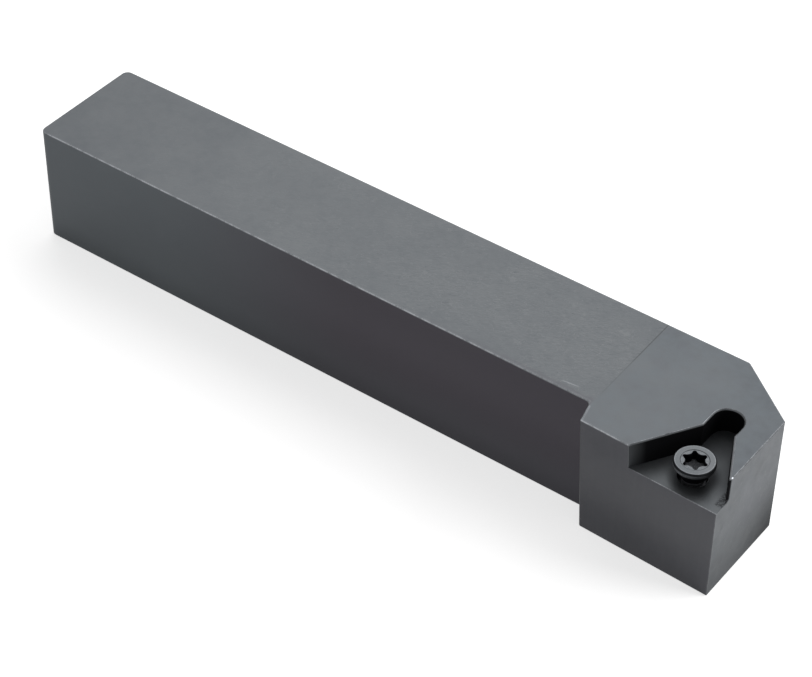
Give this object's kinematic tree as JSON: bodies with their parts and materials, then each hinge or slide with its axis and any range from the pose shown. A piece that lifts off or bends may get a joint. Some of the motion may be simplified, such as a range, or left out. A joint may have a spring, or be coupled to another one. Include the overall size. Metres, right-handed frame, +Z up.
{
  "type": "turning tool holder",
  "caption": "Left-hand lathe tool holder: square steel shank, offset head with an open seat for a triangular insert, and a six-lobe screw that clamps the insert.",
  "frame": {"origin": "bottom centre of the whole part's bounding box, on the plane of the shank's base", "axes": "+X along the shank towards the cutting end, +Y towards the shank's back datum side, +Z up from the base to the clamped top face"},
  "size_m": [0.1237, 0.0244, 0.02],
  "materials": {
    "holder_steel": "black oxide, satin",
    "screw_steel": "black oxide, smooth"
  },
  "bodies": {
    "holder": {"holder_body": "holder_steel"},
    "screw": {"insert_screw": "screw_steel"}
  },
  "joints": [
    {"name": "insert_screw_travel", "type": "slide", "parent": "holder", "child": "screw", "axis": [0, 0, 1], "range_m": [-0.0007, 0.0077]}
  ]
}
